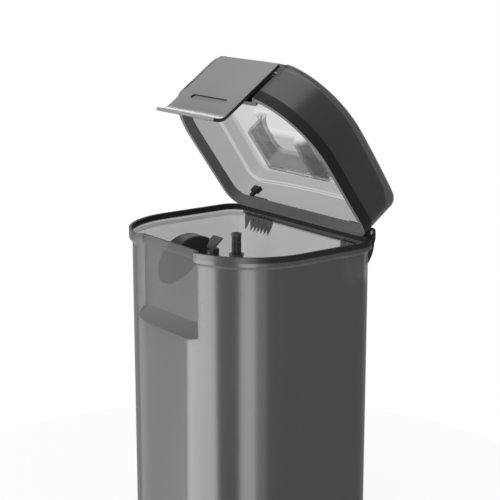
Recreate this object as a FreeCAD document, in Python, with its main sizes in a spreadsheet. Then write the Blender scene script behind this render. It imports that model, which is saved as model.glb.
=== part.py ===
import FreeCAD, Part
import Sketcher
import math
import os
from FreeCAD import Placement, Rotation, Vector

# Clean water tank of a floor-washing vacuum dock, shown with its lid open.
# Origin: middle of the base on the resting plane. +Z is up, the front with the latch is -Y,
# and the lid's hinge line runs along X at the back.

doc = FreeCAD.newDocument("clean_water_tank")
sheet = doc.addObject("Spreadsheet::Sheet", "Sheet")

SIZES = [
    ("body_width", 170, "outside width of the tank, along the hinge"),
    ("body_depth", 129, "outside depth of the tank, front to back"),
    ("body_height", 240, "height of the collar's top edge"),
    ("front_radius", 59, "plan radius of the two large front corners"),
    ("rear_radius", 14, "plan radius of the two rear corners"),
    ("wall", 2.5, "wall of the tank moulding"),
    ("floor_thick", 3.2, "floor of the tank moulding"),
    ("base_fillet", 6, "round between the outside walls and the base"),
    ("collar_height", 6.9, "height of the rim collar, and depth of the lid's seat in it"),
    ("collar_out", 2.5, "how far the collar stands out from the wall"),
    ("collar_gap", 0.5, "gap between the lid's edge and the collar, all round"),
    ("seat_gap", 0.4, "gap under the lid's edge when it is closed"),
    ("notch_in", 44.5, "distance of the front recess's mouth in from the side wall"),
    ("notch_taper", 4.5, "how much further in the recess is at its floor, each side"),
    ("notch_depth", 6.1, "depth of the front recess"),
    ("notch_drop", 54, "depth below the rim at which the recess floor ends"),
    ("notch_slope", 12, "further drop of the sloped lower end of the recess"),
    ("lid_wall", 2.3, "wall of the lid moulding"),
    ("roof_top", 44, "height of the roof's middle above the lid's edge"),
    ("lid_round", 7, "outside round between the lid's walls and roof"),
    ("lid_bevel", 8.5, "bevel inside the lid between its walls and roof"),
    ("roof_radius", 900, "radius of the gently domed roof"),
    ("open_angle", 54.8, "angle of the lid as shown, from closed"),
    ("hinge_back", 4.3, "distance of the hinge axis behind the rear wall"),
    ("hinge_up", 2.95, "height of the hinge axis above the collar"),
    ("hinge_in", 25, "distance of each hinge's middle in from the side wall"),
    ("hinge_half", 15.5, "half width of each hinge bracket"),
    ("body_knuckle", 3.6, "radius of the tank's hinge knuckles"),
    ("lid_knuckle", 3.0, "radius of the lid's hinge knuckles"),
    ("knuckle_len", 6, "length of each outer hinge knuckle"),
    ("knuckle_gap", 0.4, "side gap between hinge knuckles"),
    ("hinge_pin_r", 1.5, "radius of the hinge pins"),
    ("pin_play", 0.05, "radial play of every pin in its holes"),
    ("rib_count", 6, "gusset ribs under each hinge bracket"),
    ("rib_pitch", 4.45, "spacing of the gusset ribs"),
    ("rib_thick", 1.6, "thickness of a gusset rib"),
    ("rib_drop", 14.5, "length of a gusset rib below the bracket's shelf"),
    ("shelf_thick", 5.5, "thickness of the bracket's shelf at the wall"),
    ("seal_height", 8.4, "height of the lid seal"),
    ("seal_skin", 0.6, "outer leg of the seal, let into the lid's wall"),
    ("seal_leg", 1.2, "inner leg of the seal"),
    ("seal_web", 1.3, "bottom of the seal, under the lid's edge"),
    ("well_half", 44, "half width of the hand well in the roof"),
    ("well_flat", 24, "half width of the flat middle of the well's floor"),
    ("well_front", 4.5, "distance of the well's front edge before the centre"),
    ("well_back", 35.5, "distance of the well's rear edge behind the centre"),
    ("well_floor", 19.8, "height of the well's floor above the lid's edge"),
    ("well_front_r", 22, "plan radius of the well's front corners"),
    ("well_rear_r", 9, "plan radius of the well's rear corners"),
    ("well_round", 6, "round between the well's floor and walls"),
    ("latch_side", 0.2, "gap between the latch plate and the corners of the recess floor, each side"),
    ("latch_thick", 2.4, "thickness of the latch plate"),
    ("latch_proud", 0.8, "how far the latch plate stands before the front wall"),
    ("latch_top", 35, "top edge of the latch plate above the lid's edge"),
    ("latch_bottom", 22.6, "start of the finger lip below the lid's edge"),
    ("lip_drop", 9, "height of the finger lip"),
    ("lip_out", 5.4, "how far the finger lip curls forwards"),
    ("latch_corner", 1.6, "radius of the latch plate's upper corners"),
    ("groove_half", 21.5, "half length of the groove across the latch plate"),
    ("groove_height", 4.4, "height of the groove"),
    ("groove_deep", 1.3, "depth of the groove"),
    ("groove_down", 10, "middle of the groove below the lid's edge"),
    ("pivot_up", 28, "height of the latch pivot above the lid's edge"),
    ("pivot_in", 3.55, "distance of the latch pivot behind the front wall"),
    ("latch_pin_r", 1.25, "radius of the latch pin"),
    ("ear_radius", 2.2, "radius of the latch's two pivot ears"),
    ("ear_thick", 4, "thickness of each ear"),
    ("ear_in", 8.8, "distance of each ear's middle in from the latch plate's side"),
    ("hook_half", 8, "half width of the latch hook"),
    ("hook_thick", 2.5, "height of the hook's tooth"),
    ("hook_bite", 1.3, "how far the hook reaches under the collar"),
    ("hook_gap", 0.3, "gap between hook and collar when closed"),
    ("spring_wire", 0.5, "wire of the latch springs"),
    ("spring_play", 0.15, "radial gap between the latch's springs and their pin"),
    ("spring_leg", 9, "length of the latch springs' legs"),
    ("spring_turns", 4, "turns of each latch spring"),
    ("clip_in", 20, "distance of the T-shaped clip in from the left side wall"),
    ("riser_in", 23.7, "distance of the riser tube in from the left side wall"),
    ("riser_before", 18.5, "distance of the riser tube before the rear wall"),
    ("riser_r", 3.9, "outside radius of the riser tube"),
    ("riser_bore", 2.7, "bore radius of the riser tube"),
    ("riser_top", 19, "riser tube's top below the rim"),
    ("riser_socket", 36, "top of the riser's socket below the rim"),
    ("post_y", 22, "distance of the capped post behind the centre"),
    ("post_r", 3.6, "radius of the capped post"),
    ("post_top", 31, "top of the post below the rim"),
    ("cap_r", 5.4, "radius of the post's cap"),
    ("cap_height", 6, "height of the post's cap"),
    ("float_in", 27, "distance of the float's middle in from the left side wall"),
    ("float_thick", 16, "thickness of the float"),
    ("float_length", 50, "length of the float along its flat"),
    ("float_crown", 17, "rise of the float's round back"),
    ("float_belly", 7, "bulge of the float's underside"),
    ("float_tilt", 39, "slope of the float at rest"),
    ("float_pivot_y", 17, "distance of the float flat's upper end point behind the centre"),
    ("float_pivot_down", 13, "the same point below the rim"),
    ("float_neck", 6, "distance from that point to the float's upper end"),
    ("float_ear", 2.9, "radius of the float's eye"),
    ("float_pin_r", 1.2, "radius of the float's pin"),
    ("eye_along", 14, "float's pin along its flat, from that point"),
    ("arm_half", 2, "half thickness of the float's arm and eye"),
    ("plate_length", 25, "length of the bracket's back plate"),
    ("plate_half", 6, "half width of the bracket's back plate"),
    ("slot_half", 2.4, "half width of the slot in the back plate"),
    ("plate_lead", 3, "how far the back plate reaches above that point"),
    ("stop_near", 6.4, "distance of the float's stop from the float's flat"),
    ("magnet_r", 4, "radius of the float's magnet"),
    ("magnet_length", 6, "length of the float's magnet"),
    ("plate_gap", 9, "distance from the float's flat to the bracket's back plate"),
    ("plate_thick", 1.6, "thickness of the bracket's plates"),
    ("outlet_r", 15, "outside radius of the outlet valve's housing"),
    ("valve_wire", 0.7, "wire of the outlet's spring"),
    ("valve_spring_r", 3.6, "radius of the outlet's spring, to the wire's middle"),
    ("outlet_bore", 7, "bore radius of the outlet"),
    ("outlet_y", 20, "distance of the outlet behind the centre"),
]

for row, (alias, value, meaning) in enumerate(SIZES, 1):
    sheet.set("A%d" % row, alias)
    sheet.set("B%d" % row, str(value))
    sheet.setAlias("B%d" % row, alias)
    sheet.set("C%d" % row, meaning)
doc.recompute()


def full(expression):
    """Put the sheet's name before every alias of an expression."""
    words = []
    word = ""
    for mark in expression + " ":
        if mark.isalnum() or mark == "_" or (mark == "." and word[:1].isdigit()):
            word += mark
            continue
        words.append("Sheet." + word if word in ALIASES else word)
        words.append(mark)
        word = ""
    return "".join(words).strip()


ALIASES = {alias for alias, value, meaning in SIZES}


def val(expression):
    """Number that an expression of sheet sizes gives."""
    result = sheet.evalExpression(full(expression))
    return float(getattr(result, "Value", result))


def bind(thing, prop, expression):
    thing.setExpression(prop, full(expression))


def place(thing, where):
    for letter, expression in zip("xyz", where):
        bind(thing, ".Placement.Base." + letter, expression)
    return thing


def box(name, sides, corner):
    thing = doc.addObject("Part::Box", name)
    for prop, expression in zip(("Length", "Width", "Height"), sides):
        bind(thing, prop, expression)
    return place(thing, corner)


TURNS = {"X": Rotation(Vector(0, 1, 0), 90), "Y": Rotation(Vector(1, 0, 0), -90), "Z": Rotation()}


def cylinder(name, radius, length, start, axis):
    thing = doc.addObject("Part::Cylinder", name)
    bind(thing, "Radius", radius)
    bind(thing, "Height", length)
    thing.Placement = Placement(Vector(), TURNS[axis])
    return place(thing, start)


def fuse(name, things):
    result = doc.addObject("Part::MultiFuse", name)
    result.Shapes = things
    return result


def cut(name, base, tool):
    result = doc.addObject("Part::Cut", name)
    result.Base = base
    result.Tool = tool
    return result


def common(name, base, tool):
    result = doc.addObject("Part::Common", name)
    result.Base = base
    result.Tool = tool
    return result


def extrude(name, sketch, length, direction=Vector(0, 0, 1)):
    result = doc.addObject("Part::Extrusion", name)
    result.Base = sketch
    result.DirMode = "Custom"
    result.Dir = direction
    result.Solid = True
    bind(result, "LengthFwd", length)
    return result


def round_edges(name, base, radius, keep, kind="Fillet"):
    """Fillet, or chamfer, of the edges of base for which keep(edge) is true."""
    doc.recompute()
    result = doc.addObject("Part::" + kind, name)
    result.Base = base
    size = val(radius)
    result.Edges = [(i, size, size) for i, edge in enumerate(base.Shape.Edges, 1) if keep(edge)]
    return result


def at_height(edge, height):
    box_of = edge.BoundBox
    return abs(box_of.ZMin - height) < 1e-4 and abs(box_of.ZMax - height) < 1e-4


def named(sketch, constraint, name, expression):
    index = sketch.addConstraint(constraint)
    sketch.renameConstraint(index, name)
    bind(sketch, "Constraints." + name, expression)


def rounded_loop(sketch, left, right, front, back, front_r, rear_r):
    """Closed loop of four lines and four tangent arcs; every argument is an expression."""
    x0, x1, y0, y1 = -val(left), val(right), -val(front), val(back)
    rf, rr = val(front_r), val(rear_r)
    up = Vector(0, 0, 1)
    quarter = math.pi / 2

    def line(ax, ay, bx, by):
        return Part.LineSegment(Vector(ax, ay, 0), Vector(bx, by, 0))

    def arc(cx, cy, radius, start):
        return Part.ArcOfCircle(Part.Circle(Vector(cx, cy, 0), up, radius), start, start + quarter)

    sketch.addGeometry([
        line(x0 + rf, y0, x1 - rf, y0), arc(x1 - rf, y0 + rf, rf, -quarter),
        line(x1, y0 + rf, x1, y1 - rr), arc(x1 - rr, y1 - rr, rr, 0),
        line(x1 - rr, y1, x0 + rr, y1), arc(x0 + rr, y1 - rr, rr, quarter),
        line(x0, y1 - rr, x0, y0 + rf), arc(x0 + rf, y0 + rf, rf, 2 * quarter)])
    for i in range(8):
        sketch.addConstraint(Sketcher.Constraint("Tangent", i, 2, (i + 1) % 8, 1))
    for i, kind in ((0, "Horizontal"), (2, "Vertical"), (4, "Horizontal"), (6, "Vertical")):
        sketch.addConstraint(Sketcher.Constraint(kind, i))
    named(sketch, Sketcher.Constraint("DistanceY", 0, 1, -1, 1, -y0), "front", front)
    named(sketch, Sketcher.Constraint("DistanceX", -1, 1, 2, 1, x1), "right", right)
    named(sketch, Sketcher.Constraint("DistanceY", -1, 1, 4, 1, y1), "back", back)
    named(sketch, Sketcher.Constraint("DistanceX", 6, 1, -1, 1, -x0), "left", left)
    for i, name, radius in ((1, "front_a", front_r), (7, "front_b", front_r),
                            (3, "rear_a", rear_r), (5, "rear_b", rear_r)):
        named(sketch, Sketcher.Constraint("Radius", i, val(radius)), name, radius)


def plan_block(name, grow, low, high, rear=None):
    """Solid of the tank's plan, grown outwards by grow, between two heights."""
    sketch = doc.addObject("Sketcher::SketchObject", name + "_plan")
    side = "body_width / 2 + (%s)" % grow
    reach = "body_depth / 2 + (%s)" % grow
    rounded_loop(sketch, side, side, reach, reach,
                 "front_radius + (%s)" % grow, rear or "rear_radius + (%s)" % grow)
    bind(sketch, ".Placement.Base.z", low)
    return extrude(name, sketch, "%s - (%s)" % (high, low))


NOTCH_MOUTH = "(body_width / 2 - notch_in)"
NOTCH_FLOOR = "(body_width / 2 - notch_in - notch_taper)"
LATCH_HALF = "(body_width / 2 - notch_in - notch_taper - latch_side)"
SLANT = "notch_taper / notch_depth"


def notch_width(grow, beyond):
    """Half width of the recess, narrowed by grow, at a distance beyond its floor."""
    return "%s + (%s) * (%s) - (%s) * sqrt(1 + (%s) ^ 2)" % (NOTCH_FLOOR, SLANT, beyond, grow, SLANT)


def quad(name, corners):
    """Face of four corners on one horizontal or upright plane, as a polygon object."""
    return Part.Face(Part.makePolygon([Vector(*corner) for corner in corners + corners[:1]]))


def notch_block(name, grow, low, high):
    """Prism of the front recess for a wall grown by grow; it runs out past the front."""
    floor_y = val("-body_depth / 2 + notch_depth - (%s)" % grow)
    mouth_y = val("-body_depth / 2 - collar_out - 6")
    beyond = val("-body_depth / 2 + notch_depth") - mouth_y
    inner = val(notch_width(grow, grow))
    outer = val(notch_width(grow, repr(beyond)))
    base, top = val(low), val(high)
    thing = doc.addObject("Part::Feature", name)
    face = quad(name, [(-inner, floor_y, base), (inner, floor_y, base),
                       (outer, mouth_y, base), (-outer, mouth_y, base)])
    thing.Shape = face.extrude(Vector(0, 0, top - base))
    return thing


def recess_block(name, grow):
    """Recess of the tank below the collar: slanted sides and a sloped lower end."""
    floor_y = val("-body_depth / 2 + notch_depth - (%s)" % grow)
    mouth_y = val("-body_depth / 2 - 3")
    beyond = val("-body_depth / 2 + notch_depth") - mouth_y
    slope = val("notch_slope / notch_depth")
    steep = math.sqrt(1 + slope * slope)
    low_in = val("body_height - notch_drop") + val(grow) * (steep - slope)
    low_out = low_in - slope * (floor_y - mouth_y)
    inner = val(notch_width(grow, grow))
    outer = val(notch_width(grow, repr(beyond)))
    top = val("body_height - collar_height")
    near = Part.makePolygon([Vector(*c) for c in (
        (-outer, mouth_y, low_out), (outer, mouth_y, low_out), (outer, mouth_y, top),
        (-outer, mouth_y, top), (-outer, mouth_y, low_out))])
    far = Part.makePolygon([Vector(*c) for c in (
        (-inner, floor_y, low_in), (inner, floor_y, low_in), (inner, floor_y, top),
        (-inner, floor_y, top), (-inner, floor_y, low_in))])
    thing = doc.addObject("Part::Feature", name)
    thing.Shape = Part.makeLoft([near, far], True, True)
    return thing


def notched(name, grow, low, high):
    """Plan block with the front recess cut out of it."""
    block = plan_block(name + "_block", grow, low, high)
    return cut(name, block, notch_block(name + "_notch", grow, "%s - 1" % low, "%s + 1" % high))


def finish(thing, node):
    """Name a sub-part after its node."""
    thing.Label = node
    NODES.append(thing)
    return thing


NODES = []
RIM = "body_height"
SEAT = "(body_height - collar_height)"
AXIS_Y = "(body_depth / 2 + hinge_back)"
HINGE_MID = "(body_width / 2 - hinge_in)"
RISER_X = "(riser_in - body_width / 2)"
RISER_Y = "(body_depth / 2 - riser_before)"
AXIS_Z = "(body_height + hinge_up)"
SIDES = (("left", -1), ("right", 1))


def profile_bar(name, points, x0, x1):
    """Bar along X with the outline points (y, z); a tuple of three points is an arc's last two."""
    edges = []
    here = Vector(x0, *points[0])
    first = here
    for point in points[1:] + points[:1]:
        if isinstance(point[0], tuple):
            middle, end = (Vector(x0, *p) for p in point)
            edges.append(Part.Arc(here, middle, end).toShape())
        else:
            end = Vector(x0, *point)
            if (end - here).Length < 1e-9:
                continue
            edges.append(Part.makeLine(here, end))
        here = end
    if (here - first).Length > 1e-9:
        edges.append(Part.makeLine(here, first))
    thing = doc.addObject("Part::Feature", name)
    thing.Shape = Part.Face(Part.Wire(edges)).extrude(Vector(x1 - x0, 0, 0))
    return thing


def hinge_bracket(side, way):
    """Shelf behind the rear wall with two knuckles above it and a row of gusset ribs below."""
    wall_y = val("body_depth / 2")
    axis_y, axis_z = val(AXIS_Y), val(AXIS_Z)
    radius = val("body_knuckle")
    rear = axis_y + radius
    middle = way * val(HINGE_MID)
    half = val("hinge_half")
    top = val("body_height - knuckle_gap * 2")
    under = top - val("shelf_thick")
    foot = under - val("rib_drop")
    buried = wall_y - val("wall") / 2
    shelf = profile_bar("shelf_" + side, [
        (buried, under), (wall_y, under), (rear - 1, under + 1), (rear, top - 1.5), (rear, top), (buried,
                                                                                                  top)],
        middle - half, middle + half)
    pieces = [shelf]
    length = val("knuckle_len")
    for start in (middle - half, middle + half - length):
        neck = profile_bar("neck_%s_%d" % (side, len(pieces)), [
            (axis_y - radius + 1, top - 1), (rear, top - 1), (rear, axis_z), (axis_y - radius + 1, axis_z)],
            start, start + length)
        pieces.append(neck)
        barrel = doc.addObject("Part::Cylinder", "barrel_%s_%d" % (side, len(pieces)))
        bind(barrel, "Radius", "body_knuckle")
        bind(barrel, "Height", "knuckle_len")
        barrel.Placement = Placement(Vector(start, axis_y, axis_z), TURNS["X"])
        pieces.append(barrel)
    thick = val("rib_thick")
    inner = middle - way * (half - thick / 2)
    starts = [inner + way * i * val("rib_pitch") for i in range(int(round(val("rib_count"))))]
    starts.append(middle + way * (half - thick / 2))
    for centre in starts:
        rib = profile_bar("rib_%s_%d" % (side, len(pieces)), [
            (buried, under + 1), (rear - 1.2, under + 1.2),
            ((wall_y + (rear - wall_y) * 0.62, (under + foot) / 2), (wall_y, foot)), (buried, foot)],
            centre - thick / 2, centre + thick / 2)
        pieces.append(rib)
    return pieces


def tank_body():
    walls = plan_block("walls", "0", "0", RIM)
    walls = round_edges("walls_base", walls, "base_fillet", lambda edge: at_height(edge, 0))
    collar = plan_block("collar", "collar_out", SEAT, RIM)
    flare = plan_block("flare", "0", SEAT + " - collar_out", SEAT)
    flare.TaperAngle = 45
    pieces = [walls, collar, flare]
    outside = fuse("outside", pieces)
    outside = cut("outside_recessed", outside, recess_block("recess", "0"))
    outside = cut("outside_notched", outside, notch_block("rim_notch", "collar_out", SEAT, RIM + " + 1"))
    cavity = plan_block("cavity", "-wall", "floor_thick", RIM + " + 1")
    cavity = cut("cavity_recessed", cavity, recess_block("recess_inside", "-wall"))
    cavity = cut("cavity_notched", cavity, notch_block("cavity_notch", "-wall", SEAT + " - 0.01",
                                                       RIM + " + 2"))
    seat = notched("seat", "collar_gap", SEAT, RIM + " + 1")
    brackets = [piece for side, way in SIDES for piece in hinge_bracket(side, way)]
    shell = cut("shell", fuse("bracketed", [outside] + brackets), fuse("hollows", [cavity, seat]))
    boss = cylinder("riser_boss", "riser_r + 3.4", "6", (RISER_X, RISER_Y, "floor_thick - 1"), "Z")
    stub = cylinder("post_boss", "post_r + 2", "6", (RISER_X, "post_y", "floor_thick - 1"), "Z")
    solid = fuse("tank_solid", [shell, boss, stub])
    bores = []
    for side, way in SIDES:
        bores.append(cylinder("bore_" + side, "hinge_pin_r + pin_play", "hinge_half * 2 + 2",
                              ("%d * %s - hinge_half - 1" % (way, HINGE_MID), AXIS_Y, AXIS_Z), "X"))
    bores.append(cylinder("riser_hole", "riser_r + 1.5 + pin_play", "5",
                          (RISER_X, RISER_Y, "floor_thick + 1"), "Z"))
    bores.append(cylinder("post_hole", "post_r + pin_play", "5", (RISER_X, "post_y", "floor_thick + 1"),
                          "Z"))
    bores.append(cylinder("outlet_hole", "outlet_r - 4 + pin_play", "floor_thick + 2",
                          ("0", "outlet_y", "-1"), "Z"))
    return finish(cut("tank", solid, fuse("tank_bores", bores)), "tank_body")


def hinge_pins():
    for side, way in SIDES:
        pin = cylinder("hinge_pin_" + side, "hinge_pin_r", "hinge_half * 2 - 0.6",
                       ("%d * %s - hinge_half + 0.3" % (way, HINGE_MID), AXIS_Y, AXIS_Z), "X")
        finish(pin, "hinge_pin_" + side)


def lid_form(name, grow, low, kind, edge_size):
    """Closed form of the lid: walls of the plan, a domed roof, and a fillet or chamfer between them."""
    block = plan_block(name + "_block", grow, low, SEAT + " + seat_gap + roof_top + 10")
    dome = doc.addObject("Part::Sphere", name + "_dome")
    bind(dome, "Radius", "roof_radius + (%s)" % grow)
    place(dome, ("0", "0", SEAT + " + seat_gap + roof_top - roof_radius"))
    form = common(name + "_form", block, dome)
    high = val(SEAT + " + roof_top / 2")
    return round_edges(name, form, edge_size, lambda edge: edge.BoundBox.ZMin > high, kind)


def well_block(name, grow):
    """Hand well sunk in the roof: its floor rounds up in long curves at both ends, tightly front and rear."""
    sketch = doc.addObject("Sketcher::SketchObject", name + "_plan")
    side = "well_half + (%s)" % grow
    rounded_loop(sketch, side, side, "well_front + (%s)" % grow, "well_back + (%s)" % grow,
                 "well_front_r + (%s)" % grow, "well_rear_r + (%s)" % grow)
    bind(sketch, ".Placement.Base.z", SEAT + " + seat_gap + well_floor - (%s)" % grow)
    block = extrude(name + "_block", sketch, "roof_top")
    level = val(SEAT + " + seat_gap + well_floor - (%s)" % grow)
    block = round_edges(name + "_round", block, "well_round + (%s)" % grow,
                        lambda edge: at_height(edge, level))
    flat = val("well_flat")
    sweep = val("well_half + (%s)" % grow) - flat
    high = level + val("roof_top")
    bend = sweep * (1 - math.sqrt(0.5))
    trough = profile_bar(name + "_trough", [
        (-flat, level), (flat, level), ((flat + sweep - bend, level + bend), (flat + sweep, level + sweep)),
        (flat + sweep, high), (-flat - sweep, high), (-flat - sweep, level + sweep),
        ((-flat - sweep + bend, level + bend), (-flat, level))],
        -val("body_depth"), val("body_depth"))
    trough.Placement = Placement(Vector(), Rotation(Vector(0, 0, 1), -90))
    return common(name, block, trough)


def lid_shell():
    edge = SEAT + " + seat_gap"
    outer = lid_form("lid_outer", "0", edge, "Fillet", "lid_round")
    inner = lid_form("lid_inner", "-lid_wall", edge + " - 1", "Chamfer", "lid_bevel")
    top = edge + " + roof_top + 12"
    outer = cut("lid_outer_notched", outer, notch_block("lid_notch", "0", edge + " - 1", top))
    inner = cut("lid_inner_notched", inner, notch_block("lid_notch_inside", "-lid_wall", edge + " - 2",
                                                        top))
    outer = cut("lid_outer_welled", outer, well_block("well", "0"))
    inner = cut("lid_inner_welled", inner, well_block("well_inside", "lid_wall"))
    shell = cut("lid_walls", outer, inner)
    seal_top = edge + " + seal_height"
    rim = plan_block("rebate_block", "1", edge + " - 1", seal_top)
    core = notched("rebate_core", "-seal_skin", edge + " + seal_web", seal_top + " + 1")
    shell = cut("lid_rebated", shell, cut("rebate", rim, core))
    pieces = [shell]
    for side, way in SIDES:
        half = "(hinge_half - knuckle_len - knuckle_gap)"
        start = "%d * %s - %s" % (way, HINGE_MID, half)
        pieces.append(cylinder("lid_barrel_" + side, "lid_knuckle", half + " * 2",
                               (start, AXIS_Y, AXIS_Z), "X"))
        pieces.append(box("lid_arm_" + side, (half + " * 2", "hinge_back + lid_wall / 2",
                                              "lid_knuckle + 1"),
                          (start, "body_depth / 2 - lid_wall / 2", AXIS_Z + " - 1")))
    solid = fuse("lid_solid", pieces)
    bores = [cylinder("lid_bore_" + side, "hinge_pin_r + pin_play", "hinge_half * 2",
                      ("%d * %s - hinge_half" % (way, HINGE_MID), AXIS_Y,
                       AXIS_Z), "X") for side, way in SIDES]
    bores.append(cylinder("latch_bore", "latch_pin_r + pin_play", "(%s + lid_wall) * 2" % NOTCH_MOUTH,
                          ("-%s - lid_wall" % NOTCH_MOUTH, PIVOT_Y, PIVOT_Z), "X"))
    return finish(cut("lid", solid, fuse("lid_bores", bores)), "lid_shell")


PIVOT_Y = "(-body_depth / 2 + pivot_in)"
PIVOT_Z = "(body_height - collar_height + seat_gap + pivot_up)"


def lid_seal():
    edge = SEAT + " + seat_gap"
    high = edge + " + seal_height"
    whole = notched("seal_outside", "0", edge, high)
    inside = notched("seal_inside", "-lid_wall - seal_leg", edge + " - 1", high + " + 1")
    slot = cut("seal_slot", notched("slot_outside", "-seal_skin", edge + " + seal_web", high + " + 1"),
               notched("slot_inside", "-lid_wall", edge, high + " + 2"))
    return finish(cut("seal", cut("seal_ring", whole, inside), slot), "lid_seal")


def lid_clip():
    """Small T-shaped clip on the inside of the lid's rear wall, beside the left hinge."""
    face = val("body_depth / 2 - lid_wall")
    low = val(SEAT + " + seat_gap + seal_height") + 0.3
    middle = val("clip_in - body_width / 2")
    stem = Part.makeBox(3.4, 2.4, 4.2, Vector(middle - 1.7, face - 2.4, low))
    head = Part.makeBox(8, 3.4, 5.6, Vector(middle - 4, face - 3.4, low + 4.2))
    thing = doc.addObject("Part::Feature", "clip")
    thing.Shape = stem.fuse(head).removeSplitter()
    return finish(thing, "hinge_clip")


def latch_plate():
    front = val("-body_depth / 2 - latch_proud")
    back = front + val("latch_thick")
    edge = val(SEAT + " + seat_gap")
    top = edge + val("latch_top")
    bend = edge - val("latch_bottom")
    out, drop = val("lip_out"), val("lip_drop")
    radius = (out * out + drop * drop) / (2 * out)
    turn = math.asin(drop / radius)
    thick = val("latch_thick")

    def curl(r, angle):
        return (front - radius + r * math.cos(angle), bend - r * math.sin(angle))

    half = val(LATCH_HALF)
    plate = profile_bar("plate", [
        (front, top), (front, bend), (curl(radius, turn / 2), curl(radius, turn)),
        curl(radius + thick, turn), (curl(radius + thick, turn / 2), curl(radius + thick, 0)), (back, top)],
        -half, half)
    plate = round_edges("plate_round", plate, "latch_corner", lambda e: abs(e.BoundBox.ZMin - top) < 1e-4
                        and e.BoundBox.ZLength < 1e-4 and e.BoundBox.XLength < 1e-4)
    pieces = [plate]
    for side, way in SIDES:
        start = "%d * (%s - ear_in) - ear_thick / 2" % (way, LATCH_HALF)
        pieces.append(cylinder("ear_" + side, "ear_radius", "ear_thick", (start, PIVOT_Y, PIVOT_Z), "X"))
        pieces.append(box("ear_root_" + side, ("ear_thick", "pivot_in + latch_proud - latch_thick / 2",
                                               "ear_radius * 2"),
                          (start, "-body_depth / 2 - latch_proud + latch_thick / 2",
                           PIVOT_Z + " - ear_radius")))
    tooth_top = val("body_height - collar_height - hook_gap")
    tip = val("-body_depth / 2 + notch_depth - collar_out + hook_bite")
    tall = val("hook_thick")
    wide = val("hook_half")
    pieces.append(profile_bar("hook", [
        (back - 1, tooth_top), (tip, tooth_top), (tip, tooth_top - tall * 0.4),
        (back - 1, tooth_top - tall * 2)], -wide, wide))
    solid = fuse("latch_solid", pieces)
    tall = val("groove_height")
    level = edge - val("groove_down")
    reach = val("groove_half") - tall / 2
    bar = Part.makeBox(2 * reach, val("groove_deep") + 1, tall, Vector(-reach, front - 1, level - tall / 2))
    for x in (-reach, reach):
        bar = bar.fuse(Part.makeCylinder(tall / 2, val("groove_deep") + 1, Vector(x, front - 1, level),
                                         Vector(0, 1, 0)))
    groove = doc.addObject("Part::Feature", "groove")
    groove.Shape = bar.removeSplitter()
    bore = cylinder("ear_bore", "latch_pin_r + pin_play", LATCH_HALF + " * 2",
                    ("-" + LATCH_HALF, PIVOT_Y, PIVOT_Z), "X")
    return finish(cut("latch", solid, fuse("latch_cuts", [groove, bore])), "latch_plate")


def latch_pin():
    reach = "(%s + (notch_depth - pivot_in) * (%s) + lid_wall - 0.4)" % (NOTCH_FLOOR, SLANT)
    return finish(cylinder("latch_pin", "latch_pin_r", reach + " * 2", ("-" + reach, PIVOT_Y, PIVOT_Z),
                           "X"), "latch_pin")


def latch_springs():
    """Torsion springs on the latch pin, just inside each ear, as plain sleeves with a leg each."""
    wire = val("spring_wire")
    inner = val("latch_pin_r + spring_play")
    length = wire * val("spring_turns")
    for side, way in SIDES:
        start = way * val(LATCH_HALF + " - ear_in - ear_thick / 2 - spring_wire") - (length if way > 0 else 0)
        hub = Vector(start, val(PIVOT_Y), val(PIVOT_Z))
        sleeve = Part.makeCylinder(inner + wire, length, hub, Vector(1, 0, 0))
        leg = Part.makeBox(wire, wire, val("spring_leg"), hub + Vector(0, inner, -val("spring_leg")))
        bore = Part.makeCylinder(inner, length * 3, hub - Vector(length, 0, 0), Vector(1, 0, 0))
        thing = doc.addObject("Part::Feature", "spring_" + side)
        thing.Shape = sleeve.fuse(leg).cut(bore)
        finish(thing, "latch_spring_" + side)


def tube(name, outer, inner, low, high, x, y):
    body = cylinder(name + "_outside", outer, "%s - (%s)" % (high, low), (x, y, low), "Z")
    bore = cylinder(name + "_bore", inner, "%s - (%s) + 2" % (high, low), (x, y, "%s - 1" % low), "Z")
    return cut(name, body, bore)


def riser():
    x, y = RISER_X, RISER_Y
    socket = "body_height - riser_socket"
    finish(tube("riser_upper", "riser_r", "riser_bore", socket + " - 12", "body_height - riser_top - 2.2",
                x, y), "riser_tube")
    finish(tube("riser_end", "riser_r + 0.3", "riser_bore", "body_height - riser_top - 2.2",
                "body_height - riser_top", x, y),
           "riser_end_ring")
    pipe = cylinder("riser_pipe_outside", "riser_r + 1.5", socket + " - floor_thick - 1",
                    (x, y, "floor_thick + 1"), "Z")
    cone = doc.addObject("Part::Cone", "riser_flare")
    bind(cone, "Radius1", "riser_r + 1.5")
    bind(cone, "Radius2", "riser_r + 2.4")
    bind(cone, "Height", "4")
    place(cone, (x, y, socket + " - 4"))
    bore = cylinder("riser_pipe_bore", "riser_bore", socket, (x, y, "floor_thick"), "Z")
    seat = cylinder("riser_pipe_seat", "riser_r + pin_play", "13", (x, y, socket + " - 12"), "Z")
    slot = box("riser_inlet", ("riser_r * 4", "3", "8"), (RISER_X + " - riser_r * 2", RISER_Y + " - 1.5",
                                                          "floor_thick + 6"))
    finish(cut("riser_lower", fuse("riser_pipe_solid", [pipe, cone]),
               fuse("riser_cuts", [bore, seat, slot])), "riser_pipe")


def post():
    x, y = RISER_X, "post_y"
    level = "body_height - post_top"
    finish(cylinder("post_rod", "post_r", level + " - floor_thick - 1", (x, y, "floor_thick + 1"), "Z"),
           "float_post")
    cap = cylinder("cap_outside", "cap_r", "cap_height", (x, y, level + " - cap_height + 3"), "Z")
    cap = round_edges("cap_round", cap, "cap_r / 5", lambda e: at_height(e, val(level + " + 3")))
    hole = cylinder("cap_hole", "post_r + pin_play", "cap_height - 3",
                    (x, y, level + " - cap_height + 3"), "Z")
    finish(cut("cap", cap, hole), "post_cap")


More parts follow.
